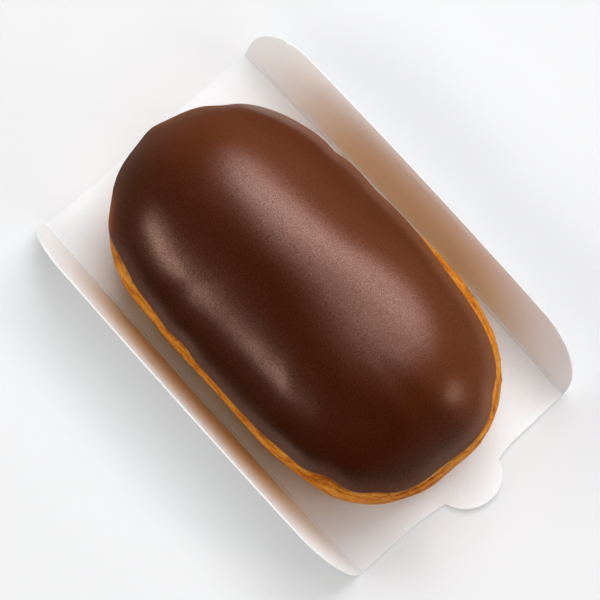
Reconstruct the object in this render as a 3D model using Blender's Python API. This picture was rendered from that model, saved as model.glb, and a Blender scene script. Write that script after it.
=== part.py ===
"""A mini eclair: a choux bun under a cap of chocolate icing, lying in its folded white card.

Units are metres and +Z is up. +X runs along the bun to the card's tab, +Y across it.
The card rests on z = 0, and the origin is under the middle of the whole thing.
"""

import math

import bmesh
import bpy
import numpy as np

MM = 0.001

# Card tray: one sheet, scored and folded up along both long sides
CARD_THICKNESS = 0.4 * MM
CARD_LENGTH = 85.2 * MM
CARD_WIDTH = 48.6 * MM  # from fold to fold
FLAP_WIDTH = 15.9 * MM
FLAP_ANGLES = {-1: math.radians(73.4), 1: math.radians(74.0)}  # up from the floor, by side
FLAP_TWISTS = {-1: 0.0, 1: math.radians(1.3)}  # steeper by this at the tab end
FOLD_BOWS = {-1: 0.32 * MM, 1: 0.62 * MM}  # each fold bends out in the middle
FOLD_SKEWS = {-1: 0.0, 1: 0.33 * MM}  # and stands further out at the tab end
FLAP_CORNER_ALONG = 11.5 * MM  # reach of a flap's round corner along the fold
FLAP_CORNER_ACROSS = 13.7 * MM
FOLD_RADIUS = 0.8 * MM
TAB_RADIUS = 6.4 * MM
TAB_SETBACK = 0.97 * MM  # the tab's centre lies this far inside the card's end
TAB_SHIFT_Y = 1.5 * MM
TAB_ROOT = 0.8 * MM  # the coves beside the tab reach this far out
COVE_WIDTHS = {-1: 9.0 * MM, 1: 4.5 * MM}
END_BULGE = 0.55 * MM  # the tab end reaches further out about a place in Y
END_BULGE_PLACE = 12.0 * MM
END_BULGE_WIDTH = 11.0 * MM
END_LIFT = 0.4 * MM  # the card's tab end bends up off the floor
END_LIFT_LENGTH = 9.0 * MM
TAB_LIFT = 0.2 * MM  # and the tab curls up further

# Choux bun, measured from its middle
BUN_HALF_LENGTH = 39.7 * MM
BUN_HALF_WIDTH = 22.4 * MM
BUN_SHIFT_X = 0.9 * MM  # it lies a little nearer the tab
BUN_SHIFT_Y = -0.6 * MM  # and the left flap
BUN_TURN = math.radians(1.3)  # and a little askew
BUN_WAIST = 11.0 * MM  # height of its widest level
BUN_TOP = 30.3 * MM
SQUARENESS = {-1: 3.5, 1: 4.0}  # exponent of the outline along X, far end and tab end
DOME = 2.15  # exponent of the rise from waist to top
UNDERCUT = 0.34  # how far the side draws in under the waist
BELLY = 2.2  # exponent of that curve
FOOT_ROUND = 0.9 * MM  # rounding of the bottom edge
GAP = 0.3 * MM  # between touching solids
# Where the bun is fuller or leaner than that outline: place and width in degrees, share
PLAN_SWELLS = (
    (22, 34, 0.006),
    (67, 22, 0.036),
    (217, 14, 0.029),
    (233, 6, -0.014),
    (258, 34, -0.020),
    (303, 7, 0.015),
    (325, 11, 0.012),
    (358, 8, -0.014),
)
CRUST_WAVES = ((7.5 * MM, 0.07 * MM), (11.0 * MM, 0.10 * MM))  # length and depth
CRUST_STRETCH = 0.45  # the wrinkles run lengthwise
CRUST_FADE = (1.2 * MM, 4.0 * MM)  # below the icing's edge, where they start and are full
CRUST_SEED = 11

# Icing: a cap poured over the bun, with a thick rounded edge
ICING_THICKNESS = 1.6 * MM
EDGE_THICKNESS = 1.15 * MM
EDGE_REACH = 0.22  # share of the cap, from its edge, that thins out
RIM_HEIGHT = 18.3 * MM
# Where its edge stays higher up the bun: place and width in degrees, height
RIM_RISES = (
    (7, 17, 0.2 * MM),
    (52, 34, 3.8 * MM),
    (212, 20, 2.1 * MM),
    (324, 5, 1.8 * MM),
    (336, 4, 0.7 * MM),
)
# Lobes where the edge hangs lower and stands out, or less so: place and width in degrees, height
RIM_LOBES = (
    (19, 4, -0.47 * MM),
    (103, 7, -0.30 * MM),
    (125, 4, -0.48 * MM),
    (160, 4, -0.50 * MM),
    (179, 4, 0.66 * MM),
    (195, 12, 0.85 * MM),
    (209, 6, 0.90 * MM),
    (250, 6, -0.42 * MM),
    (307, 9, -0.44 * MM),
    (354, 8, -0.55 * MM),
)
LOBE_BULGE = 0.6  # how much a low lobe also stands out
TOP_WAVES = ((26.0 * MM, 0.22 * MM),)
TOP_SEED = 5

# Mesh density
POINTS_ROUND = 120
COVERED_RINGS = 9
OPEN_RINGS = 4
UNDER_RINGS = 5
LIP_STEPS = 4
FOLD_STEPS = 4
CORNER_STEPS = 10
TAB_STEPS = 20
COVE_STEPS = 4
TAB_CUTS = 6
BOW_CUTS = 8
OUTLINE_SAMPLES = 4000
WAVES_PER_SCALE = 6
NORMAL_STEP = 1e-3
SCORE_TOLERANCE = 1e-7

# Colour (linear red, green, blue) and roughness
CARD_FINISH = ((0.84, 0.83, 0.82), 0.45)
CHOUX_FINISH = ((0.52, 0.20, 0.035), 0.6)
ICING_FINISH = ((0.075, 0.022, 0.008), 0.35)


def end_bulge(y):
    """How much further out the card's tab end reaches at a place across it."""
    return END_BULGE * math.exp(-(((y - END_BULGE_PLACE) / END_BULGE_WIDTH) ** 2))


TAB_REACH = TAB_RADIUS - TAB_SETBACK + end_bulge(TAB_SHIFT_Y)
BUN_FOOT = CARD_THICKNESS + GAP


def flap_reach(side):
    """How far the middle of a flap's top edge stands out from the card's middle."""
    angle = FLAP_ANGLES[side]
    bend = FOLD_RADIUS * angle
    straight = (FLAP_WIDTH - bend / 2) * math.cos(angle)
    round_part = (FOLD_RADIUS + CARD_THICKNESS / 2) * math.sin(angle)
    return CARD_WIDTH / 2 - bend / 2 + FOLD_BOWS[side] + round_part + straight


CARD_MIDDLE_X = -TAB_REACH / 2
CARD_MIDDLE_Y = (flap_reach(-1) - flap_reach(1)) / 2
BUN_MIDDLE_X = CARD_MIDDLE_X + BUN_SHIFT_X
BUN_MIDDLE_Y = CARD_MIDDLE_Y + BUN_SHIFT_Y


def clear_scene():
    for thing in list(bpy.data.objects):
        bpy.data.objects.remove(thing, do_unlink=True)


def make_material(name, finish):
    colour, roughness = finish
    material = bpy.data.materials.new(name)
    material.use_nodes = True
    shader = material.node_tree.nodes["Principled BSDF"]
    shader.inputs["Base Color"].default_value = (*colour, 1.0)
    shader.inputs["Roughness"].default_value = roughness
    shader.inputs["Metallic"].default_value = 0.0
    return material


def add_object(name, mesh, material):
    mesh.materials.append(material)
    thing = bpy.data.objects.new(name, mesh)
    bpy.context.scene.collection.objects.link(thing)
    return thing


def smooth_step(value):
    value = np.clip(value, 0.0, 1.0)
    return value * value * (3.0 - 2.0 * value)


def waves(points, scales, seed, stretch=1.0):
    """Soft random relief: a few sine waves of each length, running in every direction."""
    rng = np.random.default_rng(seed)
    total = np.zeros(len(points))
    for length, depth in scales:
        for _ in range(WAVES_PER_SCALE):
            direction = rng.normal(size=3)
            direction /= np.linalg.norm(direction)
            direction[0] *= stretch
            phase = rng.uniform(0.0, 2.0 * math.pi)
            turn = 2.0 * math.pi / length * (points @ direction) + phase
            total += depth / math.sqrt(WAVES_PER_SCALE) * np.sin(turn)
    return total


def bun_outline(count):
    """The widest level as points evenly spaced round it, for half sizes of 1 in X and Y."""
    turn = np.linspace(0.0, 2.0 * math.pi, OUTLINE_SAMPLES + 1)
    x = np.cos(turn)
    square = np.where(x < 0, SQUARENESS[-1], SQUARENESS[1])
    y = np.sign(np.sin(turn)) * np.sqrt(np.maximum(1.0 - np.abs(x) ** square, 0.0))
    steps = np.hypot(np.diff(x) * BUN_HALF_LENGTH, np.diff(y) * BUN_HALF_WIDTH)
    run = np.concatenate([[0.0], np.cumsum(steps)])
    even = np.arange(count) / count * run[-1]
    x, y = np.interp(even, run, x), np.interp(even, run, y)
    return x, y, np.where(x < 0, SQUARENESS[-1], SQUARENESS[1])


def bumps_round(x, y, terms):
    """A sum of smooth bumps round the bun, at the plan angle of x and y."""
    angle = np.degrees(np.arctan2(y * BUN_HALF_WIDTH, x * BUN_HALF_LENGTH))
    total = np.zeros(len(angle))
    for place, width, height in terms:
        away = (angle - place + 180.0) % 360.0 - 180.0
        total += height * np.exp(-((away / width) ** 2))
    return total


def bun_surface(outline, level):
    """Points of the bun: level 0 is the top, 1 the waist and 2 the foot."""
    x, y, square = outline
    level = np.broadcast_to(level, x.shape)
    over = np.minimum(level, 1.0) * math.pi / 2
    under = np.clip(level - 1.0, 0.0, 1.0)
    spread = np.sin(over) ** 2 - UNDERCUT * under**BELLY
    rise = np.maximum(np.cos(over), 0.0) ** (2.0 / DOME)
    z = BUN_WAIST + (BUN_TOP - BUN_WAIST) * rise - (BUN_WAIST - BUN_FOOT) * under
    swell = 1.0 + bumps_round(x, y, PLAN_SWELLS)
    along = BUN_HALF_LENGTH * x * spread ** (1.0 / square) * swell
    across = BUN_HALF_WIDTH * y * np.sqrt(spread) * swell
    cos, sin = math.cos(BUN_TURN), math.sin(BUN_TURN)
    return np.stack(
        [
            BUN_MIDDLE_X + along * cos - across * sin,
            BUN_MIDDLE_Y + along * sin + across * cos,
            z,
        ],
        axis=1,
    )


def down_and_out(outline, level):
    """Unit vectors down the bun's side and out of it, at each point of a level."""
    lower = np.minimum(level + NORMAL_STEP, 2.0)
    down = bun_surface(outline, lower) - bun_surface(outline, level - NORMAL_STEP)
    down /= np.linalg.norm(down, axis=1, keepdims=True)
    ring = bun_surface(outline, level)
    along = np.roll(ring, -1, axis=0) - np.roll(ring, 1, axis=0)
    out = np.cross(down, along)
    out /= np.linalg.norm(out, axis=1, keepdims=True)
    return down, out


def rim_levels(outline):
    """The bun's level under the icing's edge, and how far each lobe hangs down."""
    x, y, _ = outline
    lobe = bumps_round(x, y, RIM_LOBES)
    height = RIM_HEIGHT + bumps_round(x, y, RIM_RISES) - lobe
    share = ((height - BUN_WAIST) / (BUN_TOP - BUN_WAIST)) ** (DOME / 2.0)
    return np.arccos(share) / (math.pi / 2), lobe


def closed_rings(name, rings, first_pole, last_pole):
    """A closed mesh from rings of points, each end closed by a fan to its pole."""
    mesh_points = np.concatenate([[first_pole], *rings, [last_pole]])
    count = len(rings[0])
    faces = []
    for i in range(count):
        j = (i + 1) % count
        faces.append((0, 1 + i, 1 + j))
        for ring in range(len(rings) - 1):
            start = 1 + ring * count
            faces.append((start + i, start + count + i, start + count + j, start + j))
        start = 1 + (len(rings) - 1) * count
        faces.append((start + i, len(mesh_points) - 1, start + j))
    mesh = bpy.data.meshes.new(name)
    mesh.from_pydata(mesh_points.tolist(), [], faces)
    mesh.shade_smooth()
    return mesh


def crust(points, rim):
    """Depth of the crust's wrinkles, none close under the icing's edge."""
    start, full = CRUST_FADE
    below = np.linalg.norm(points - rim, axis=1)
    fade = smooth_step((below - start) / (full - start))
    return fade * waves(points, CRUST_WAVES, CRUST_SEED, CRUST_STRETCH)


def build_bun():
    outline = bun_outline(POINTS_ROUND)
    rim, _ = rim_levels(outline)
    rim_points = bun_surface(outline, rim)
    rings = [bun_surface(outline, rim * k / COVERED_RINGS) for k in range(1, COVERED_RINGS + 1)]
    open_levels = [rim + (1.0 - rim) * k / OPEN_RINGS for k in range(1, OPEN_RINGS + 1)]
    foot_level = 2.0 - FOOT_ROUND / (BUN_WAIST - BUN_FOOT)
    for k in range(1, UNDER_RINGS + 1):
        open_levels.append(np.full_like(rim, 1.0 + (foot_level - 1.0) * k / UNDER_RINGS))
    for level in open_levels:
        _, out = down_and_out(outline, level)
        points = bun_surface(outline, level)
        rings.append(points + out * crust(points, rim_points)[:, None])
    middle = np.array([BUN_MIDDLE_X, BUN_MIDDLE_Y, BUN_FOOT])
    foot = rings[-1].copy()
    foot[:, 2] = BUN_FOOT
    inward = middle - foot
    inward /= np.linalg.norm(inward, axis=1, keepdims=True)
    rings.append(foot + inward * FOOT_ROUND)
    top = np.array([BUN_MIDDLE_X, BUN_MIDDLE_Y, BUN_TOP])
    mesh = closed_rings("choux_bun", rings, top, middle)
    return add_object("choux_bun", mesh, make_material("choux", CHOUX_FINISH))


def icing_thickness(share, lobe, relief):
    """Thickness at a share of the way from the cap's middle to its edge."""
    edge = smooth_step((share - (1.0 - EDGE_REACH)) / EDGE_REACH)
    middle = ICING_THICKNESS + relief
    return middle + edge * (EDGE_THICKNESS + LOBE_BULGE * lobe - middle)


def build_icing():
    outline = bun_outline(POINTS_ROUND)
    rim, lobe = rim_levels(outline)
    outer, inner = [], []
    for k in range(1, COVERED_RINGS + 1):
        share = k / COVERED_RINGS
        level = rim * share
        _, out = down_and_out(outline, level)
        under = bun_surface(outline, level) + out * GAP
        thick = icing_thickness(share, lobe, waves(under, TOP_WAVES, TOP_SEED))
        inner.append(under)
        outer.append(under + out * thick[:, None])
    down, out = down_and_out(outline, rim)
    half = np.linalg.norm(outer[-1] - inner[-1], axis=1)[:, None] / 2
    centre = inner[-1] + out * half
    lip = []
    for k in range(1, LIP_STEPS):
        turn = math.pi * k / LIP_STEPS
        lip.append(centre + half * (out * math.cos(turn) + down * math.sin(turn)))
    top = np.array([[BUN_MIDDLE_X, BUN_MIDDLE_Y, BUN_TOP + GAP]])
    crown = top[0] + (0.0, 0.0, ICING_THICKNESS + waves(top, TOP_WAVES, TOP_SEED)[0])
    mesh = closed_rings("chocolate_icing", outer + lip + inner[::-1], crown, top[0])
    return add_object("chocolate_icing", mesh, make_material("icing", ICING_FINISH))


def card_end(sign):
    """One end of the flat card from the -Y side to the +Y side; the +X end has the tab."""
    half_length, half_width = CARD_LENGTH / 2, CARD_WIDTH / 2 + FLAP_WIDTH
    corner = []
    for k in range(CORNER_STEPS + 1):
        turn = math.pi / 2 * k / CORNER_STEPS
        along = half_length - FLAP_CORNER_ALONG * (1.0 - math.sin(turn))
        corner.append((sign * along, -half_width + FLAP_CORNER_ACROSS * (1.0 - math.cos(turn))))
    middle = []
    if sign > 0:
        root_turn = math.acos((TAB_SETBACK + TAB_ROOT) / TAB_RADIUS)
        root_y = TAB_RADIUS * math.sin(root_turn)
        coves = {}
        for side, width in COVE_WIDTHS.items():
            shares = [k / COVE_STEPS for k in range(COVE_STEPS)]
            coves[side] = [
                (half_length + TAB_ROOT * share**2, TAB_SHIFT_Y + side * (root_y + width * (1.0 - share)))
                for share in shares
            ]
        middle += coves[-1]
        for k in range(TAB_STEPS + 1):
            turn = root_turn * (2.0 * k / TAB_STEPS - 1.0)
            reach = half_length - TAB_SETBACK + TAB_RADIUS * math.cos(turn)
            middle.append((reach, TAB_SHIFT_Y + TAB_RADIUS * math.sin(turn)))
        middle += reversed(coves[1])
    edge = corner + middle + [(x, -y) for x, y in reversed(corner)]
    if sign > 0:
        edge = [(x + end_bulge(y), y) for x, y in edge]
    return edge


def fold_card(x, across):
    """Where a point of the flat card lies once the flaps are folded and the tab curls."""
    side = -1 if across < 0 else 1
    along = x / (CARD_LENGTH / 2)
    angle = FLAP_ANGLES[side] + FLAP_TWISTS[side] * along
    bow = FOLD_BOWS[side] * (1.0 - along**2) + FOLD_SKEWS[side] * along
    bend = FOLD_RADIUS * angle
    flat = CARD_WIDTH / 2 - bend / 2
    past = abs(across) - flat
    if past <= 0:
        y, z = abs(across), 0.0
    else:
        turn = min(past / FOLD_RADIUS, angle)
        run = max(past - bend, 0.0)
        y = flat + FOLD_RADIUS * math.sin(turn) + run * math.cos(angle)
        z = FOLD_RADIUS * (1.0 - math.cos(turn)) + run * math.sin(angle)
    curl = max(x - CARD_LENGTH / 2, 0.0) / TAB_REACH
    rise = max(x - CARD_LENGTH / 2 + END_LIFT_LENGTH, 0.0) / END_LIFT_LENGTH
    height = CARD_THICKNESS / 2 + z + END_LIFT * rise**2 + TAB_LIFT * curl**2
    y += bow * min(abs(across) / flat, 1.0)
    return CARD_MIDDLE_X + x, CARD_MIDDLE_Y + side * y, height


def score(sheet, point, normal):
    """Cut the flat sheet along a line, so that it can bend there."""
    everything = sheet.verts[:] + sheet.edges[:] + sheet.faces[:]
    bmesh.ops.bisect_plane(
        sheet, geom=everything, plane_co=point, plane_no=normal, dist=SCORE_TOLERANCE
    )


def build_card():
    sheet = bmesh.new()
    outline = card_end(1) + card_end(-1)[::-1]
    sheet.faces.new([sheet.verts.new((x, y, 0.0)) for x, y in outline])
    for side, angle in FLAP_ANGLES.items():
        bend = FOLD_RADIUS * angle
        for k in range(FOLD_STEPS + 1):
            line = CARD_WIDTH / 2 + bend * (k / FOLD_STEPS - 0.5)
            score(sheet, (0.0, side * line, 0.0), (0.0, 1.0, 0.0))
    for k in range(1, BOW_CUTS):
        score(sheet, (CARD_LENGTH * (k / BOW_CUTS - 0.5), 0.0, 0.0), (1.0, 0.0, 0.0))
    for k in range(TAB_CUTS):
        score(sheet, (CARD_LENGTH / 2 + TAB_REACH * k / TAB_CUTS, 0.0, 0.0), (1.0, 0.0, 0.0))
    for point in sheet.verts:
        point.co = fold_card(point.co.x, point.co.y)
    mesh = bpy.data.meshes.new("card_tray")
    sheet.to_mesh(mesh)
    sheet.free()
    card = add_object("card_tray", mesh, make_material("card", CARD_FINISH))
    thickness = card.modifiers.new("thickness", "SOLIDIFY")
    thickness.thickness = CARD_THICKNESS
    thickness.offset = 0.0
    thickness.use_even_offset = True
    return card


def main():
    clear_scene()
    build_card()
    build_bun()
    build_icing()


main()
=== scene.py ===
import math

import bmesh
import bpy
import numpy as np
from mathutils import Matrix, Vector, kdtree, noise


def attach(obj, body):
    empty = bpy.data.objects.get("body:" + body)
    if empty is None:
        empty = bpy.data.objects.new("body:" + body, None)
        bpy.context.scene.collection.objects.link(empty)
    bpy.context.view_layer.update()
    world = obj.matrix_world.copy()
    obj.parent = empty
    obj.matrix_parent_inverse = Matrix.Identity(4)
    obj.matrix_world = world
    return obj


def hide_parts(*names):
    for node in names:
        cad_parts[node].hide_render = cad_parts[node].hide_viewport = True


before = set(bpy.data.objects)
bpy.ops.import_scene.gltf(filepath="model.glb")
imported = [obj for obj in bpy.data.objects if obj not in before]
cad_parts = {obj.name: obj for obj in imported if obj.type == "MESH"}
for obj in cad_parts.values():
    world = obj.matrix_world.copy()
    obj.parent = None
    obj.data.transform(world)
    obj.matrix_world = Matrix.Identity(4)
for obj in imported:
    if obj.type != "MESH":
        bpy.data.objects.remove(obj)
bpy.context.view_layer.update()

# The looks of a mini eclair: a choux bun under a cap of chocolate icing, in its folded white card.
# Units are metres and +Z is up. +X runs along the bun to the card's tab, +Y across it.
MM = 0.001

# Card tray: one sheet, scored and folded up along both long sides
CARD_THICKNESS = 0.4 * MM
CARD_LENGTH = 85.2 * MM
CARD_WIDTH = 48.6 * MM  # from fold to fold
FLAP_WIDTH = 15.9 * MM
FLAP_ANGLES = {-1: math.radians(73.4), 1: math.radians(74.0)}  # up from the floor, by side
FLAP_TWISTS = {-1: 0.0, 1: math.radians(1.3)}  # steeper by this at the tab end
FOLD_BOWS = {-1: 0.32 * MM, 1: 0.62 * MM}  # each fold bends out in the middle
FOLD_SKEWS = {-1: 0.0, 1: 0.33 * MM}  # and stands further out at the tab end
FLAP_CORNER_ALONG = 11.5 * MM  # reach of a flap's round corner along the fold
FLAP_CORNER_ACROSS = 13.7 * MM
FOLD_RADIUS = 0.8 * MM
FOLD_ZONE = 1.8 * MM  # width of the finely cut strip along each fold
TAB_RADIUS = 6.4 * MM
TAB_SETBACK = 0.97 * MM  # the tab's centre lies this far inside the card's end
TAB_SHIFT_Y = 1.5 * MM
TAB_ROOT = 0.8 * MM  # the coves beside the tab reach this far out
COVE_WIDTHS = {-1: 9.0 * MM, 1: 4.5 * MM}
END_BULGE = 0.55 * MM  # the tab end reaches further out about a place in Y
END_BULGE_PLACE = 12.0 * MM
END_BULGE_WIDTH = 11.0 * MM
END_LIFT = 0.4 * MM  # the card's tab end bends up off the floor
END_LIFT_LENGTH = 9.0 * MM
TAB_LIFT = 0.2 * MM  # and the tab curls up further
EDGE_PRESS = 0.6  # its cut edge is pressed to this share of its thickness
CRISP_ANGLE = math.radians(60)  # edges sharper than this are not smoothed
CREASE_HEIGHT = 0.13 * MM  # the scored fold: a fine ridge, with a groove beside it up the flap
CREASE_WIDTH = 0.15 * MM
CREASE_SPREAD = 0.36 * MM  # from the ridge to the groove

# Warm tint in the card's colour, which stands for the light that the bun throws on it
BOUNCE_TINT = (1.06, 0.72, 0.36)  # the white is multiplied by this
WARM_SIDES = {-1: 0.97, 1: 0.60}  # how strong it is on each side
WARM_FULL = 0.56  # strength at which it is the full tint
WARM_BASE = 0.30  # share of it that is left on the card's base
WARM_RISE = 2.0 * MM  # height above the base where all of it is there
WARM_REACH = 12.0 * MM  # it fades with the distance from the bun
WARM_HEIGHT = 15.5 * MM  # and up the flaps
WARM_MIDDLE = -1.0 * MM  # and from this place towards both ends
WARM_HALF_LENGTH = 30.0 * MM

# Choux bun, measured from its middle
BUN_HALF_LENGTH = 39.7 * MM
BUN_HALF_WIDTH = 22.4 * MM
BUN_SHIFT_X = 0.9 * MM  # it lies a little nearer the tab
BUN_SHIFT_Y = -0.6 * MM  # and the left flap
BUN_TURN = math.radians(1.3)  # and a little askew
BUN_WAIST = 11.0 * MM  # height of its widest level
BUN_TOP = 30.3 * MM
SQUARENESS = {-1: 3.5, 1: 4.0}  # exponent of the outline along X, far end and tab end
DOME = 2.15  # exponent of the rise from waist to top
UNDERCUT = 0.34  # how far the side draws in under the waist
BELLY = 2.2  # exponent of that curve
FOOT_ROUND = 0.9 * MM  # rounding of the bottom edge
GAP = 0.3 * MM  # between touching solids
# Where the bun is fuller or leaner than that outline: place and width in degrees, share
PLAN_SWELLS = (
    (22, 34, 0.006),
    (67, 22, 0.036),
    (217, 14, 0.029),
    (233, 6, -0.014),
    (258, 34, -0.020),
    (303, 7, 0.015),
    (325, 11, 0.012),
    (358, 8, -0.014),
)
CRUST_WAVES = ((7.5 * MM, 0.07 * MM), (11.0 * MM, 0.10 * MM))  # length and depth
CRUST_STRETCH = 0.45  # the wrinkles run lengthwise
CRUST_FADE = (1.2 * MM, 4.0 * MM)  # below the icing's edge, where they start and are full
CRUST_SEED = 11
# Finer relief of the crust: length round the bun, length down its side, depth
CRUST_FOLDS = (
    (9.0 * MM, 1.40 * MM, 0.22 * MM),
    (4.2 * MM, 0.75 * MM, 0.16 * MM),
    (1.6 * MM, 0.50 * MM, 0.08 * MM),
)
CRUST_PITS = (1.3 * MM, 0.70 * MM, 0.30 * MM)  # and of its scattered pits
PIT_LEVEL = 0.18  # share of the noise above which a pit opens
RIDGE_FALL = 3.2  # how steeply a fold's ridge falls away
FOLD_SEED = 1.7  # of the broadest folds
FOLD_SEED_STEP = 7.3  # and from each kind to the next finer one
PIT_SEED = 31.9
CRUMBLE_SEED = 53.1
CRUST_DETAIL_FADE = (0.35 * MM, 1.3 * MM)  # below the icing's edge, where it starts and is full
CRUST_SMOOTHER = (4.0 * MM, 10.0 * MM, 0.5)  # from and to where it gets smoother, by what share
# Hollows below the icing's edge: place in degrees and how far down, half sizes round and down, depth
CRUST_HOLLOWS = (
    (211.5, 1.9 * MM, 2.6 * MM, 0.55 * MM, 0.40 * MM),
    (223.0, 1.9 * MM, 1.6 * MM, 0.50 * MM, 0.30 * MM),
    (232.0, 2.0 * MM, 2.2 * MM, 0.45 * MM, 0.25 * MM),
    (286.0, 1.8 * MM, 2.0 * MM, 0.45 * MM, 0.22 * MM),
    (324.5, 2.4 * MM, 2.2 * MM, 0.90 * MM, 0.55 * MM),
    (343.5, 2.2 * MM, 2.0 * MM, 0.50 * MM, 0.30 * MM),
    (15.5, 2.3 * MM, 1.2 * MM, 0.60 * MM, 0.25 * MM),
)
CRUMBLE = (31.0, 9.0, 0.20 * MM)  # a crumbly stretch: place and width in degrees, depth
CRUMBLE_GRAIN = 1.1 * MM
SMEAR = (204.0, 5.5, 3.4 * MM)  # chocolate on the crust: place and width in degrees, reach down
# Painted light and shade on the crust, paler above 0 and darker below: painted highlight on the
# ridges adds to it, and painted shade in the pits, the hollows and close under the icing's edge takes
# away
FOLD_HIGHLIGHT_START = 1.5  # divides the broadest folds' part in it, and one more for each finer kind
PIT_SHADE = 2.0
HOLLOW_SHADE = 1.6
EDGE_SHADE = 0.8  # painted shade close under the icing's edge
HIDDEN_TONE = -1.0  # the whole tone where the icing covers the crust

# Icing: a cap poured over the bun, with a thick rounded edge
ICING_THICKNESS = 1.6 * MM
EDGE_THICKNESS = 1.15 * MM
EDGE_REACH = 0.22  # share of the cap, from its edge, that thins out
RIM_HEIGHT = 18.3 * MM
# Where its edge stays higher up the bun: place and width in degrees, height
RIM_RISES = (
    (7, 17, 0.2 * MM),
    (52, 34, 3.8 * MM),
    (212, 20, 2.1 * MM),
    (324, 5, 1.8 * MM),
    (336, 4, 0.7 * MM),
)
# Lobes where the edge hangs lower and stands out, or less so: place and width in degrees, height
RIM_LOBES = (
    (19, 4, -0.47 * MM),
    (103, 7, -0.30 * MM),
    (125, 4, -0.48 * MM),
    (160, 4, -0.50 * MM),
    (179, 4, 0.66 * MM),
    (195, 12, 0.85 * MM),
    (209, 6, 0.90 * MM),
    (250, 6, -0.42 * MM),
    (307, 9, -0.44 * MM),
    (354, 8, -0.55 * MM),
)
LOBE_BULGE = 0.6  # how much a low lobe also stands out
LIT_SIDE = (-0.1, 0.99, 0.0)  # painted light: the icing is paler where it faces this way, towards the light
# where that painted light starts and where it is full, as the cosine towards that side
LIT_RANGE = (-0.25, 0.40)
SKIRT_START = 0.80  # share of the cap, from its middle, where its skirt starts
SKIRT_SHEEN = 0.46  # the icing thins there; its paler colour there is painted sheen, for the warm light that the skirt reflects
BARE_START = 0.90  # share of the cap where its smeared stretch starts to let the crust show
BARE_PALE = 1.2  # how much paler it gets there
TOP_WAVES = ((26.0 * MM, 0.22 * MM),)
TOP_SEED = 5
ICING_EASE = 0.13 * MM  # its fine surface lies this much lower than the solid's coarse one

# Colours of the materials, each as a ramp's places and colours
ICING_COLOURS = (
    (0.04, (0.038, 0.0056, 0.0002)),
    (0.44, (0.116, 0.0255, 0.006)),
    (0.90, (0.30, 0.085, 0.015)),
)
GLINT_COLOURS = ((0.36, (0.14, 0.105, 0.085)), (0.64, (1.0, 0.74, 0.60)))  # of the icing's gloss
CHOUX_COLOURS = (
    (0.18, (0.28, 0.058, 0.0015)),
    (0.50, (0.56, 0.165, 0.004)),
    (0.92, (0.83, 0.38, 0.055)),
)
CARD_COLOURS = ((0.0, (0.858, 0.873, 0.88)), (1.0, (0.898, 0.915, 0.925)))
FLOOR_COLOURS = ((0.0, (0.66, 0.66, 0.66)), (1.0, (0.68, 0.68, 0.68)))
# Chocolate smeared on the crust
SMEAR_COLOUR = (0.13, 0.022, 0.003)
# Noise in the materials: its scale, where 1 is a pattern about a metre wide, and its detail
MOTTLE_NOISE = (260.0, 3.0)  # the icing's soft mottle
GRAIN_NOISE = (6500.0, 2.0)  # and its fine grain
SPECK_NOISE = (1500.0, 3.0)  # the crust's specks
PATCH_NOISE = (160.0, 2.0)  # and its baked patches
FIBRE_NOISE = (1500.0, 4.0)  # the card's fibre
FLOOR_NOISE = (30.0, 2.0)
# Shares and strengths in the materials
MOTTLE_SHARE = 0.2  # part of the mottle in how pale the icing is
PALE_SHARE = 0.4  # from how pale it is to its place on the ramp
GRAIN_DEPTH = 0.01 * MM
ICING_ROUGHNESS = (0.29, 0.42)  # on top and on the skirt
TONE_SHARE = 0.30  # parts of the painted light and shade, the specks and the patches in the crust's colour
SPECK_SHARE = 0.55
PATCH_SHARE = 0.45
SPECK_DEPTH = 0.2 * MM
SPECK_STRENGTH = 0.6
CARD_GLOW_DEPTH = 0.6 * MM  # how far light spreads in the card

# Mesh density
ICING_POINTS_ROUND = 448
BUN_POINTS_ROUND = 840
COVERED_RINGS = 100  # of the icing's outside
INSIDE_RINGS = 10  # and of its inside
HIDDEN_RINGS = 6  # of the bun under the icing
OPEN_RINGS = 42  # from the icing's edge to the waist
UNDER_RINGS = 44  # and from there to the foot
LIP_STEPS = 10
FOLD_STEPS = 24
CORNER_STEPS = 32
TAB_STEPS = 48
COVE_STEPS = 10
TAB_CUTS = 6
BOW_CUTS = 64
WIDTH_CUTS = 60
OUTLINE_SAMPLES = 8000
WAVES_PER_SCALE = 6
NORMAL_STEP = 1e-3
SCORE_TOLERANCE = 1e-7

# Camera: where it stands and what it looks at
CAMERA_PLACE = (0.07480, -0.07018, 0.53141)
CAMERA_TARGET = (-0.00443, 0.00065, 0.0)
CAMERA_LENS = 180.0
CAMERA_SENSOR = 36.0
CAMERA_RANGE = (0.01, 10.0)  # nearest and farthest that it sees


def end_bulge(y):
    """How much further out the card's tab end reaches at a place across it."""
    return END_BULGE * math.exp(-(((y - END_BULGE_PLACE) / END_BULGE_WIDTH) ** 2))


TAB_REACH = TAB_RADIUS - TAB_SETBACK + end_bulge(TAB_SHIFT_Y)
BUN_FOOT = CARD_THICKNESS + GAP


def flap_reach(side):
    """How far the middle of a flap's top edge stands out from the card's middle."""
    angle = FLAP_ANGLES[side]
    bend = FOLD_RADIUS * angle
    straight = (FLAP_WIDTH - bend / 2) * math.cos(angle)
    round_part = (FOLD_RADIUS + CARD_THICKNESS / 2) * math.sin(angle)
    return CARD_WIDTH / 2 - bend / 2 + FOLD_BOWS[side] + round_part + straight


CARD_MIDDLE_X = -TAB_REACH / 2
CARD_MIDDLE_Y = (flap_reach(-1) - flap_reach(1)) / 2
BUN_MIDDLE_X = CARD_MIDDLE_X + BUN_SHIFT_X
BUN_MIDDLE_Y = CARD_MIDDLE_Y + BUN_SHIFT_Y


# Shapes


def smooth_step(value):
    """A soft rise from 0 to 1 while the value goes from 0 to 1."""
    value = np.clip(value, 0.0, 1.0)
    return value * value * (3.0 - 2.0 * value)


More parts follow.
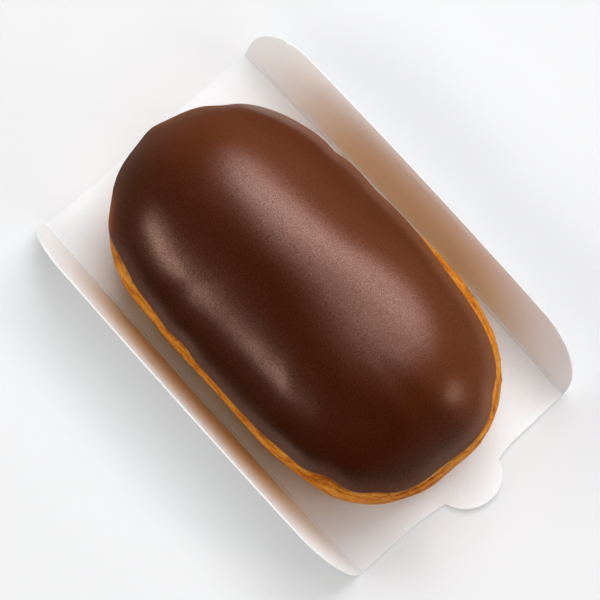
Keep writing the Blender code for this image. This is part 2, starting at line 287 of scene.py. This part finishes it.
def waves(points, scales, seed, stretch=1.0):
    """Soft random relief: a few sine waves of each length, running in every direction."""
    rng = np.random.default_rng(seed)
    total = np.zeros(len(points))
    for length, depth in scales:
        for _ in range(WAVES_PER_SCALE):
            direction = rng.normal(size=3)
            direction /= np.linalg.norm(direction)
            direction[0] *= stretch
            phase = rng.uniform(0.0, 2.0 * math.pi)
            turn = 2.0 * math.pi / length * (points @ direction) + phase
            total += depth / math.sqrt(WAVES_PER_SCALE) * np.sin(turn)
    return total


def bun_outline(count):
    """The widest level as points evenly spaced round it, for half sizes of 1 in X and Y."""
    turn = np.linspace(0.0, 2.0 * math.pi, OUTLINE_SAMPLES + 1)
    x = np.cos(turn)
    square = np.where(x < 0, SQUARENESS[-1], SQUARENESS[1])
    y = np.sign(np.sin(turn)) * np.sqrt(np.maximum(1.0 - np.abs(x) ** square, 0.0))
    steps = np.hypot(np.diff(x) * BUN_HALF_LENGTH, np.diff(y) * BUN_HALF_WIDTH)
    run = np.concatenate([[0.0], np.cumsum(steps)])
    even = np.arange(count) / count * run[-1]
    x, y = np.interp(even, run, x), np.interp(even, run, y)
    return x, y, np.where(x < 0, SQUARENESS[-1], SQUARENESS[1])


def angle_away(outline, place):
    """Degrees round the bun from a place, for each point of the outline."""
    x, y, _ = outline
    angle = np.degrees(np.arctan2(y * BUN_HALF_WIDTH, x * BUN_HALF_LENGTH))
    return (angle - place + 180.0) % 360.0 - 180.0


def bumps_round(outline, terms):
    """A sum of smooth bumps round the bun, for each point of the outline."""
    total = np.zeros(len(outline[0]))
    for place, width, height in terms:
        total += height * np.exp(-((angle_away(outline, place) / width) ** 2))
    return total


def bun_surface(outline, level):
    """Points of the bun: level 0 is the top, 1 the waist and 2 the foot."""
    x, y, square = outline
    level = np.broadcast_to(level, x.shape)
    over = np.minimum(level, 1.0) * math.pi / 2
    under = np.clip(level - 1.0, 0.0, 1.0)
    spread = np.sin(over) ** 2 - UNDERCUT * under**BELLY
    rise = np.maximum(np.cos(over), 0.0) ** (2.0 / DOME)
    z = BUN_WAIST + (BUN_TOP - BUN_WAIST) * rise - (BUN_WAIST - BUN_FOOT) * under
    swell = 1.0 + bumps_round(outline, PLAN_SWELLS)
    along = BUN_HALF_LENGTH * x * spread ** (1.0 / square) * swell
    across = BUN_HALF_WIDTH * y * np.sqrt(spread) * swell
    cos, sin = math.cos(BUN_TURN), math.sin(BUN_TURN)
    return np.stack(
        [
            BUN_MIDDLE_X + along * cos - across * sin,
            BUN_MIDDLE_Y + along * sin + across * cos,
            z,
        ],
        axis=1,
    )


def down_and_out(outline, level):
    """Unit vectors down the bun's side and out of it, at each point of a level."""
    lower = np.minimum(level + NORMAL_STEP, 2.0)
    down = bun_surface(outline, lower) - bun_surface(outline, level - NORMAL_STEP)
    down /= np.linalg.norm(down, axis=1, keepdims=True)
    ring = bun_surface(outline, level)
    along = np.roll(ring, -1, axis=0) - np.roll(ring, 1, axis=0)
    out = np.cross(down, along)
    out /= np.linalg.norm(out, axis=1, keepdims=True)
    return down, out


def rim_levels(outline):
    """The bun's level under the icing's edge, and how far each lobe hangs down."""
    lobe = bumps_round(outline, RIM_LOBES)
    height = RIM_HEIGHT + bumps_round(outline, RIM_RISES) - lobe
    share = ((height - BUN_WAIST) / (BUN_TOP - BUN_WAIST)) ** (DOME / 2.0)
    return np.arccos(share) / (math.pi / 2), lobe


def closed_rings(name, rings, first_pole, last_pole):
    """A closed mesh from rings of points, each end closed by a fan to its pole."""
    mesh_points = np.concatenate([[first_pole], *rings, [last_pole]])
    count = len(rings[0])
    faces = []
    for i in range(count):
        j = (i + 1) % count
        faces.append((0, 1 + i, 1 + j))
        for ring in range(len(rings) - 1):
            start = 1 + ring * count
            faces.append((start + i, start + count + i, start + count + j, start + j))
        start = 1 + (len(rings) - 1) * count
        faces.append((start + i, len(mesh_points) - 1, start + j))
    mesh = bpy.data.meshes.new(name)
    mesh.from_pydata(mesh_points.tolist(), [], faces)
    mesh.shade_smooth()
    return mesh


def add_piece(name, mesh, material, node):
    """Put a piece in the scene in place of its solid."""
    mesh.materials.append(material)
    piece = bpy.data.objects.new(name, mesh)
    bpy.context.scene.collection.objects.link(piece)
    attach(piece, "root")
    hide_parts(node)
    return piece


def crust(points, below):
    """Depth of the crust's broad wrinkles, none close under the icing's edge."""
    start, full = CRUST_FADE
    fade = smooth_step((below - start) / (full - start))
    return fade * waves(points, CRUST_WAVES, CRUST_SEED, CRUST_STRETCH)


def noise_at(places, seed):
    """Smooth noise between -1 and 1 at each place, in its own units."""
    return np.array([noise.noise(Vector((x, y, z + seed))) for x, y, z in places])


def crust_detail(outline, around, below):
    """The crust's fine relief, and the painted highlight and shade that go with it."""
    start, full = CRUST_DETAIL_FADE
    top_fade = smooth_step((below - start) / (full - start))
    start, full, share = CRUST_SMOOTHER
    fade = top_fade * (1.0 - share * smooth_step((below - start) / (full - start)))
    relief = np.zeros(len(below))
    painted_light = np.zeros(len(below))
    for order, (length, width, depth) in enumerate(CRUST_FOLDS):
        places = np.column_stack([around / length, below / width])
        seed = FOLD_SEED_STEP * order + FOLD_SEED
        ridge = 1.0 - RIDGE_FALL * np.abs(noise_at(places, seed))
        relief += depth * ridge
        painted_light += ridge / (order + FOLD_HIGHLIGHT_START)
    length, width, depth = CRUST_PITS
    pits = noise_at(np.column_stack([around / length, below / width]), PIT_SEED)
    pits = np.clip(pits - PIT_LEVEL, 0.0, None) / (1.0 - PIT_LEVEL)
    relief -= depth * pits
    painted_light -= PIT_SHADE * pits
    radius = np.linalg.norm(around, axis=1).mean()
    for place, down, half_round, half_down, depth in CRUST_HOLLOWS:
        run = np.radians(angle_away(outline, place)) * radius
        share = np.exp(-((run / half_round) ** 2) - ((below - down) / half_down) ** 2)
        relief -= depth * share
        painted_light -= HOLLOW_SHADE * share
    place, width, depth = CRUMBLE
    share = np.exp(-((angle_away(outline, place) / width) ** 2))
    places = np.column_stack([around, below]) / CRUMBLE_GRAIN
    relief += depth * share * noise_at(places, CRUMBLE_SEED)
    # painted shade close under the icing's edge
    return relief * fade, painted_light * fade - (1.0 - top_fade) * EDGE_SHADE


def smear(outline, below):
    """How much chocolate is smeared on the crust."""
    place, width, reach = SMEAR
    return np.exp(-((angle_away(outline, place) / width) ** 4) - (below / reach) ** 4)


def add_values(mesh, name, values):
    """Keep one number for each point of a mesh, for its material."""
    mesh.attributes.new(name, "FLOAT", "POINT").data.foreach_set("value", values.astype(np.float32))


def build_bun():
    """The choux bun: rings from its top, under the icing, over the waist to its foot."""
    outline = bun_outline(BUN_POINTS_ROUND)
    rim, _ = rim_levels(outline)
    rim_points = bun_surface(outline, rim)
    turn = np.arange(BUN_POINTS_ROUND) / BUN_POINTS_ROUND * 2.0 * math.pi
    waist = bun_surface(outline, 1.0)
    radius = np.linalg.norm(np.roll(waist, -1, axis=0) - waist, axis=1).sum() / (2.0 * math.pi)
    around = np.column_stack([np.cos(turn), np.sin(turn)]) * radius
    rings = [bun_surface(outline, rim * k / HIDDEN_RINGS) for k in range(1, HIDDEN_RINGS + 1)]
    painted_lights = [np.full_like(rim, HIDDEN_TONE)] * HIDDEN_RINGS
    smears = [np.zeros_like(rim)] * HIDDEN_RINGS
    open_levels = [rim + (1.0 - rim) * k / OPEN_RINGS for k in range(1, OPEN_RINGS + 1)]
    foot_level = 2.0 - FOOT_ROUND / (BUN_WAIST - BUN_FOOT)
    for k in range(1, UNDER_RINGS + 1):
        open_levels.append(np.full_like(rim, 1.0 + (foot_level - 1.0) * k / UNDER_RINGS))
    for level in open_levels:
        _, out = down_and_out(outline, level)
        points = bun_surface(outline, level)
        below = np.linalg.norm(points - rim_points, axis=1)
        relief, painted_light = crust_detail(outline, around, below)
        rings.append(points + out * (relief + crust(points, below))[:, None])
        painted_lights.append(painted_light)
        smears.append(smear(outline, below))
    middle = np.array([BUN_MIDDLE_X, BUN_MIDDLE_Y, BUN_FOOT])
    foot = rings[-1].copy()
    foot[:, 2] = BUN_FOOT
    inward = middle - foot
    inward /= np.linalg.norm(inward, axis=1, keepdims=True)
    rings.append(foot + inward * FOOT_ROUND)
    painted_lights.append(painted_lights[-1])
    smears.append(smears[-1])
    top = np.array([BUN_MIDDLE_X, BUN_MIDDLE_Y, BUN_TOP])
    mesh = closed_rings("choux", rings, top, middle)
    add_values(mesh, "painted_light", np.concatenate([[HIDDEN_TONE], *painted_lights, [0.0]]))
    add_values(mesh, "smear", np.concatenate([[0.0], *smears, [0.0]]))
    return add_piece("choux", mesh, choux_material(), "choux_bun")


def icing_thickness(share, lobe, relief):
    """Thickness at a share of the way from the cap's middle to its edge."""
    edge = smooth_step((share - (1.0 - EDGE_REACH)) / EDGE_REACH)
    middle = ICING_THICKNESS - ICING_EASE + relief
    return middle + edge * (EDGE_THICKNESS + LOBE_BULGE * lobe - middle)


def build_icing():
    """The icing: a cap over the bun, round its edge and back along its inside."""
    outline = bun_outline(ICING_POINTS_ROUND)
    rim, lobe = rim_levels(outline)
    outer, inner = [], []
    for k in range(1, COVERED_RINGS + 1):
        share = k / COVERED_RINGS
        level = rim * share
        _, out = down_and_out(outline, level)
        under = bun_surface(outline, level) + out * GAP
        thick = icing_thickness(share, lobe, waves(under, TOP_WAVES, TOP_SEED))
        if k % (COVERED_RINGS // INSIDE_RINGS) == 0:
            inner.append(under)
        outer.append(under + out * thick[:, None])
    down, out = down_and_out(outline, rim)
    half = np.linalg.norm(outer[-1] - inner[-1], axis=1)[:, None] / 2
    centre = inner[-1] + out * half
    lip = []
    for k in range(1, LIP_STEPS):
        turn = math.pi * k / LIP_STEPS
        lip.append(centre + half * (out * math.cos(turn) + down * math.sin(turn)))
    top = np.array([[BUN_MIDDLE_X, BUN_MIDDLE_Y, BUN_TOP + GAP]])
    crown = top[0] + (0.0, 0.0, ICING_THICKNESS - ICING_EASE + waves(top, TOP_WAVES, TOP_SEED)[0])
    mesh = closed_rings("icing", outer + lip + inner[::-1], crown, top[0])
    # Painted light: the icing is paler on the side that faces the light
    facing = np.array([point.normal.dot(Vector(LIT_SIDE)) for point in mesh.vertices])
    start, full = LIT_RANGE
    shares = np.ones(len(mesh.vertices))
    covered = 1 + COVERED_RINGS * ICING_POINTS_ROUND
    shares[0] = 0.0
    shares[1:covered] = np.repeat(np.arange(1, COVERED_RINGS + 1) / COVERED_RINGS, ICING_POINTS_ROUND)
    skirt = smooth_step((shares - SKIRT_START) / (1.0 - SKIRT_START))
    bare = BARE_PALE * smooth_step((shares - BARE_START) / (1.0 - BARE_START))
    bare[1:-1] *= np.resize(smear(outline, 0.0), len(shares) - 2)
    # painted sheen on the skirt, and the paler smeared stretch where the crust shows through
    sheen_and_bare = SKIRT_SHEEN * skirt + bare
    add_values(mesh, "pale", smooth_step((facing - start) / (full - start)) + sheen_and_bare)
    add_values(mesh, "skirt", skirt)
    add_piece("icing", mesh, icing_material(), "chocolate_icing")


def card_end(sign):
    """One end of the flat card from the -Y side to the +Y side; the +X end has the tab."""
    half_length, half_width = CARD_LENGTH / 2, CARD_WIDTH / 2 + FLAP_WIDTH
    corner = []
    for k in range(CORNER_STEPS + 1):
        turn = math.pi / 2 * k / CORNER_STEPS
        along = half_length - FLAP_CORNER_ALONG * (1.0 - math.sin(turn))
        corner.append((sign * along, -half_width + FLAP_CORNER_ACROSS * (1.0 - math.cos(turn))))
    middle = []
    if sign > 0:
        root_turn = math.acos((TAB_SETBACK + TAB_ROOT) / TAB_RADIUS)
        root_y = TAB_RADIUS * math.sin(root_turn)
        coves = {}
        for side, width in COVE_WIDTHS.items():
            coves[side] = []
            for k in range(COVE_STEPS):
                share = k / COVE_STEPS
                away = root_y + width * (1.0 - share)
                coves[side].append((half_length + TAB_ROOT * share**2, TAB_SHIFT_Y + side * away))
        middle += coves[-1]
        for k in range(TAB_STEPS + 1):
            turn = root_turn * (2.0 * k / TAB_STEPS - 1.0)
            reach = half_length - TAB_SETBACK + TAB_RADIUS * math.cos(turn)
            middle.append((reach, TAB_SHIFT_Y + TAB_RADIUS * math.sin(turn)))
        middle += reversed(coves[1])
    edge = corner + middle + [(x, -y) for x, y in reversed(corner)]
    if sign > 0:
        edge = [(x + end_bulge(y), y) for x, y in edge]
    return edge


def crease(away):
    """Height of the scored fold's relief at a distance from its middle."""
    ridge = math.exp(-((away / CREASE_WIDTH) ** 2))
    groove = math.exp(-(((away - CREASE_SPREAD) / CREASE_WIDTH) ** 2))
    return CREASE_HEIGHT * (ridge - groove)


def fold_card(x, across):
    """Where a point of the flat card lies once the flaps are folded and the tab curls."""
    side = -1 if across < 0 else 1
    along = x / (CARD_LENGTH / 2)
    angle = FLAP_ANGLES[side] + FLAP_TWISTS[side] * along
    bow = FOLD_BOWS[side] * (1.0 - along**2) + FOLD_SKEWS[side] * along
    bend = FOLD_RADIUS * angle
    flat = CARD_WIDTH / 2 - bend / 2
    past = abs(across) - flat
    lift = crease(past - bend / 2)
    if past <= 0:
        y, z = abs(across), max(lift, 0.0)
    else:
        turn = min(past / FOLD_RADIUS, angle)
        run = max(past - bend, 0.0)
        y = flat + FOLD_RADIUS * math.sin(turn) + run * math.cos(angle) - lift * math.sin(turn)
        z = FOLD_RADIUS * (1.0 - math.cos(turn)) + run * math.sin(angle) + lift * math.cos(turn)
    curl = max(x - CARD_LENGTH / 2, 0.0) / TAB_REACH
    rise = max(x - CARD_LENGTH / 2 + END_LIFT_LENGTH, 0.0) / END_LIFT_LENGTH
    height = CARD_THICKNESS / 2 + z + END_LIFT * rise**2 + TAB_LIFT * curl**2
    y += bow * min(abs(across) / flat, 1.0)
    return CARD_MIDDLE_X + x, CARD_MIDDLE_Y + side * y, height


def score(sheet, point, normal):
    """Cut the flat sheet along a line, so that it can bend there."""
    everything = sheet.verts[:] + sheet.edges[:] + sheet.faces[:]
    bmesh.ops.bisect_plane(
        sheet, geom=everything, plane_co=point, plane_no=normal, dist=SCORE_TOLERANCE
    )


def painted_bounce(points, bun):
    """How strong the painted warm bounce light from the bun is at each point of the card, from 0 to
    1.
    """
    tree = kdtree.KDTree(len(bun.data.vertices))
    for point in bun.data.vertices:
        tree.insert(point.co, point.index)
    tree.balance()
    away = np.array([tree.find(point)[2] for point in points])
    x, y, z = np.array(points).T
    side = WARM_SIDES[-1] + (WARM_SIDES[1] - WARM_SIDES[-1]) * smooth_step(y / CARD_WIDTH + 0.5)
    side *= WARM_BASE + (1.0 - WARM_BASE) * smooth_step((z - CARD_THICKNESS) / WARM_RISE)
    ends = np.exp(-(((x - WARM_MIDDLE) / WARM_HALF_LENGTH) ** 4))
    return side * ends * np.exp(-away / WARM_REACH) * np.clip(1.0 - z / WARM_HEIGHT, 0.0, 1.0)


def build_card(bun):
    """The card: a flat sheet, cut and scored, then folded, and thickened by its modifiers."""
    sheet = bmesh.new()
    outline = card_end(1) + card_end(-1)[::-1]
    sheet.faces.new([sheet.verts.new((x, y, 0.0)) for x, y in outline])
    for side in FLAP_ANGLES:
        for k in range(FOLD_STEPS + 1):
            line = CARD_WIDTH / 2 + FOLD_ZONE * (k / FOLD_STEPS - 0.5)
            score(sheet, (0.0, side * line, 0.0), (0.0, 1.0, 0.0))
    for k in range(1, BOW_CUTS):
        score(sheet, (CARD_LENGTH * (k / BOW_CUTS - 0.5), 0.0, 0.0), (1.0, 0.0, 0.0))
    for k in range(TAB_CUTS):
        score(sheet, (CARD_LENGTH / 2 + TAB_REACH * k / TAB_CUTS, 0.0, 0.0), (1.0, 0.0, 0.0))
    full_width = CARD_WIDTH + 2.0 * FLAP_WIDTH
    for k in range(1, WIDTH_CUTS):
        score(sheet, (0.0, full_width * (k / WIDTH_CUTS - 0.5), 0.0), (0.0, 1.0, 0.0))
    for point in sheet.verts:
        point.co = fold_card(point.co.x, point.co.y)
    sheet.verts.index_update()
    rim = [edge for edge in sheet.edges if edge.is_boundary]
    cut_edge = {point.index for edge in rim for point in edge.verts}
    mesh = bpy.data.meshes.new("card")
    sheet.to_mesh(mesh)
    sheet.free()
    mesh.shade_smooth()
    add_values(mesh, "painted_bounce", painted_bounce([point.co for point in mesh.vertices], bun))
    card = add_piece("card", mesh, card_material(), "card_tray")
    whole = card.vertex_groups.new(name="whole")
    for point in range(len(mesh.vertices)):
        whole.add([point], EDGE_PRESS if point in cut_edge else 1.0, "REPLACE")
    thickness = card.modifiers.new("thickness", "SOLIDIFY")
    thickness.thickness = CARD_THICKNESS
    thickness.offset = 0.0
    thickness.use_even_offset = True
    thickness.vertex_group = "whole"
    crisp = card.modifiers.new("crisp edges", "EDGE_SPLIT")
    crisp.split_angle = CRISP_ANGLE


# Materials

MIX_FIRST, MIX_SECOND, MIX_RESULT = 6, 7, 2  # a mix node's sockets for colours


def add_node(tree, kind, inputs=None, **settings):
    """A shader node with its settings and inputs; an input that is a socket is linked."""
    made = tree.nodes.new(kind)
    for name, value in settings.items():
        setattr(made, name, value)
    for name, value in (inputs or {}).items():
        if isinstance(value, bpy.types.NodeSocket):
            tree.links.new(value, made.inputs[name])
        else:
            made.inputs[name].default_value = value
    return made


def add_math(tree, operation, *values, clamp=False):
    """The result of a maths operation; each value is a number or a socket."""
    made = add_node(
        tree, "ShaderNodeMath", dict(enumerate(values)), operation=operation, use_clamp=clamp
    )
    return made.outputs["Value"]


def add_noise(tree, scale, detail):
    """Noise over the piece, between 0 and 1."""
    place = add_node(tree, "ShaderNodeTexCoord").outputs["Object"]
    made = add_node(
        tree, "ShaderNodeTexNoise", {"Vector": place, "Scale": scale, "Detail": detail}
    )
    return made.outputs["Fac"]


def kept_value(tree, name):
    """The number that each point of the mesh keeps under a name."""
    return add_node(tree, "ShaderNodeAttribute", attribute_name=name).outputs["Fac"]


def add_ramp(tree, value, stops):
    """A colour from a ramp; each stop is a place from 0 to 1 and a colour."""
    made = add_node(tree, "ShaderNodeValToRGB", {"Fac": value})
    elements = made.color_ramp.elements
    first, *between, last = stops
    for element, (place, colour) in zip(elements, (first, last)):
        element.position, element.color = place, (*colour, 1.0)
    for place, colour in between:
        elements.new(place).color = (*colour, 1.0)
    return made.outputs["Color"]


def add_mix(tree, factor, first, second, blend):
    """A colour mixed from two; each is a colour or a socket."""
    made = add_node(
        tree,
        "ShaderNodeMix",
        {"Factor": factor, MIX_FIRST: first, MIX_SECOND: second},
        data_type="RGBA",
        blend_type=blend,
    )
    return made.outputs[MIX_RESULT]


def add_bump(tree, shader, height, strength, depth):
    """Fine relief on a shader's surface."""
    bump = add_node(
        tree, "ShaderNodeBump", {"Height": height, "Strength": strength, "Distance": depth}
    )
    tree.links.new(bump.outputs["Normal"], shader.inputs["Normal"])


def new_material(name, roughness, **constants):
    """A material, its node tree and its Principled shader with constant settings."""
    material = bpy.data.materials.new(name)
    material.use_nodes = True
    tree = material.node_tree
    shader = tree.nodes["Principled BSDF"]
    shader.inputs["Roughness"].default_value = roughness
    for socket, value in constants.items():
        shader.inputs[socket.replace("_", " ")].default_value = value
    return material, tree, shader


def icing_material():
    """Dark chocolate, mottled, with painted light on the side that faces the light and painted sheen
    on its skirt, and a grain in its gloss.
    """
    smooth, dull = ICING_ROUGHNESS
    material, tree, shader = new_material("chocolate icing", smooth, Specular_IOR_Level=1.0)
    mottle = add_noise(tree, *MOTTLE_NOISE)
    pale = add_math(tree, "MULTIPLY_ADD", mottle, MOTTLE_SHARE, kept_value(tree, "pale"))
    pale = add_math(tree, "MULTIPLY", pale, PALE_SHARE)
    tree.links.new(add_ramp(tree, pale, ICING_COLOURS), shader.inputs["Base Color"])
    skirt = kept_value(tree, "skirt")
    roughness = add_node(
        tree, "ShaderNodeMapRange", {"Value": skirt, "To Min": smooth, "To Max": dull}
    )
    tree.links.new(roughness.outputs["Result"], shader.inputs["Roughness"])
    grain = add_noise(tree, *GRAIN_NOISE)
    tree.links.new(add_ramp(tree, grain, GLINT_COLOURS), shader.inputs["Specular Tint"])
    add_bump(tree, shader, grain, strength=1.0, depth=GRAIN_DEPTH)
    return material


def choux_material():
    """Baked crust from brown to gold, by its specks and patches and its painted highlight and shade,
    and the smear on it.
    """
    material, tree, shader = new_material("choux", roughness=0.55, Specular_IOR_Level=0.15)
    speck = add_noise(tree, *SPECK_NOISE)
    patch = add_noise(tree, *PATCH_NOISE)
    # painted highlight on the crust's ridges, painted shade in its pits, hollows and under the
    # icing's edge
    lit_and_baked = add_math(tree, "MULTIPLY", kept_value(tree, "painted_light"), TONE_SHARE)
    lit_and_baked = add_math(tree, "MULTIPLY_ADD", speck, SPECK_SHARE, lit_and_baked)
    lit_and_baked = add_math(tree, "MULTIPLY_ADD", patch, PATCH_SHARE, lit_and_baked)
    bare = add_ramp(tree, lit_and_baked, CHOUX_COLOURS)
    colour = add_mix(tree, kept_value(tree, "smear"), bare, (*SMEAR_COLOUR, 1.0), "MIX")
    tree.links.new(colour, shader.inputs["Base Color"])
    add_bump(tree, shader, speck, strength=SPECK_STRENGTH, depth=SPECK_DEPTH)
    return material


def facing_bun(tree):
    """1 on the faces of the card that look up or towards the bun, 0 on their backs."""
    coordinates = add_node(tree, "ShaderNodeTexCoord").outputs
    place = add_node(tree, "ShaderNodeSeparateXYZ", {"Vector": coordinates["Object"]}).outputs
    normal = add_node(tree, "ShaderNodeSeparateXYZ", {"Vector": coordinates["Normal"]}).outputs
    side = add_math(tree, "SIGN", place["Y"])
    away = add_math(tree, "MULTIPLY", side, normal["Y"])
    return add_math(tree, "SUBTRACT", normal["Z"], away, clamp=True)


def card_material():
    """White board with a fine fibre, with painted warm bounce light from the bun on the faces towards
    it.
    """
    material, tree, shader = new_material(
        "white card",
        roughness=0.5,
        Subsurface_Weight=1.0,
        Subsurface_Radius=(1.0, 0.95, 0.9),
        Subsurface_Scale=CARD_GLOW_DEPTH,
        Specular_IOR_Level=0.3,
    )
    white = add_ramp(tree, add_noise(tree, *FIBRE_NOISE), CARD_COLOURS)
    # painted bounce light: a warm tint on the faces that look up or towards the bun
    warm = add_math(tree, "MULTIPLY", kept_value(tree, "painted_bounce"), facing_bun(tree))
    tint = add_ramp(tree, warm, ((0.0, (1.0, 1.0, 1.0)), (WARM_FULL, BOUNCE_TINT)))
    colour = add_mix(tree, 1.0, white, tint, "MULTIPLY")
    tree.links.new(colour, shader.inputs["Base Color"])
    return material


def floor_material():
    """A pale floor, nearly even, that glows a little."""
    material, tree, shader = new_material(
        "pale floor",
        roughness=0.8,
        Emission_Color=(1.0, 1.0, 1.0, 1.0),
        Emission_Strength=FLOOR_GLOW,
        Specular_IOR_Level=0.1,
    )
    colour = add_ramp(tree, add_noise(tree, *FLOOR_NOISE), FLOOR_COLOURS)
    tree.links.new(colour, shader.inputs["Base Color"])
    return material


# Stage

FLOOR_HALF = 2.0
FLOOR_DROP = 0.05 * MM  # it lies this far below the card
FLOOR_GLOW = 0.12
# The room's light: its colour, its strength all round, and more of it from some directions
WORLD_COLOUR = (1.0, 0.80, 0.64)
WORLD_STRENGTH = 0.02
BRIGHT_SIDES = ((20, -38, 0.70), (190, -32, 0.30))  # round from +X and up in degrees, strength
BRIGHT_FROM = 0.2  # cosine of the angle where these start
# Soft lights: direction round from +X and up in degrees, width, height, watts, colour,
# and whether they light the surfaces and whether they show in the gloss
LIGHT_DISTANCE = 0.9
COOL = (0.98, 1.0, 1.03)
COLD = (0.95, 1.02, 1.12)
SOFT = (1.0, 1.0, 0.98)
WARM = (1.10, 0.94, 0.87)
LIGHTS = (
    ("key", 112, 53, 0.90, 0.38, 5.6, COOL, True, False),
    ("key_gloss", 118, 53, 0.75, 0.34, 5.0, COLD, False, True),
    ("top", 110, 73, 0.50, 0.22, 0.9, COOL, True, True),
    ("back", 104, 16, 1.30, 0.30, 0.3, COOL, True, True),
    ("left", 237, 35, 0.60, 0.07, 2.35, SOFT, True, False),
    ("left_gloss", 238, 35, 0.60, 0.06, 2.45, WARM, False, True),
    ("right", 34, 32, 0.22, 0.16, 0.70, WARM, True, True),
    ("front_fill", 300, 46, 0.90, 0.30, 2.0, COOL, True, False),
    ("top_fill", 40, 80, 0.50, 0.30, 1.8, COOL, True, False),
)


def build_floor():
    mesh = bpy.data.meshes.new("floor")
    signs = ((-1, -1), (1, -1), (1, 1), (-1, 1))
    corners = [(x * FLOOR_HALF, y * FLOOR_HALF, -FLOOR_DROP) for x, y in signs]
    mesh.from_pydata(corners, [], [(0, 1, 2, 3)])
    mesh.materials.append(floor_material())
    floor = bpy.data.objects.new("floor", mesh)
    bpy.context.scene.collection.objects.link(floor)
    floor.visible_glossy = False


def aim(around, up):
    """The direction at an angle round from +X and up, in degrees."""
    a, e = math.radians(around), math.radians(up)
    return Vector((math.cos(a) * math.cos(e), math.sin(a) * math.cos(e), math.sin(e)))


def build_lights():
    for name, around, up, width, height, watts, colour, diffuse, glossy in LIGHTS:
        light = bpy.data.lights.new(name, "AREA")
        light.shape = "RECTANGLE"
        light.size, light.size_y = width, height
        light.energy = watts
        light.color = colour
        lamp = bpy.data.objects.new(name, light)
        bpy.context.scene.collection.objects.link(lamp)
        back = aim(around, up)
        lamp.location = back * LIGHT_DISTANCE
        lamp.visible_diffuse = diffuse
        lamp.visible_glossy = glossy
        lamp.rotation_mode = "QUATERNION"
        lamp.rotation_quaternion = back.to_track_quat("Z", "Y")


def build_world():
    world = bpy.data.worlds.new("studio")
    world.use_nodes = True
    tree = world.node_tree
    view = add_node(tree, "ShaderNodeTexCoord").outputs["Generated"]
    strength = WORLD_STRENGTH
    for around, up, more in BRIGHT_SIDES:
        facing = add_node(
            tree, "ShaderNodeVectorMath", {0: view, 1: aim(around, up)}, operation="DOT_PRODUCT"
        ).outputs["Value"]
        bright = add_node(
            tree, "ShaderNodeMapRange", {"Value": facing, "From Min": BRIGHT_FROM}
        ).outputs["Result"]
        strength = add_math(tree, "MULTIPLY_ADD", bright, more, strength)
    background = tree.nodes["Background"]
    background.inputs["Color"].default_value = (*WORLD_COLOUR, 1.0)
    tree.links.new(strength, background.inputs["Strength"])
    bpy.context.scene.world = world


def build_camera():
    data = bpy.data.cameras.new("camera")
    data.lens = CAMERA_LENS
    data.sensor_width = CAMERA_SENSOR
    data.clip_start, data.clip_end = CAMERA_RANGE
    camera = bpy.data.objects.new("camera", data)
    bpy.context.scene.collection.objects.link(camera)
    place, target = Vector(CAMERA_PLACE), Vector(CAMERA_TARGET)
    camera.location = place
    camera.rotation_mode = "QUATERNION"
    camera.rotation_quaternion = (place - target).to_track_quat("Z", "Y")
    bpy.context.scene.camera = camera


build_camera()
build_card(build_bun())
build_icing()
build_floor()
build_lights()
build_world()
bpy.context.scene.view_settings.view_transform = "Standard"
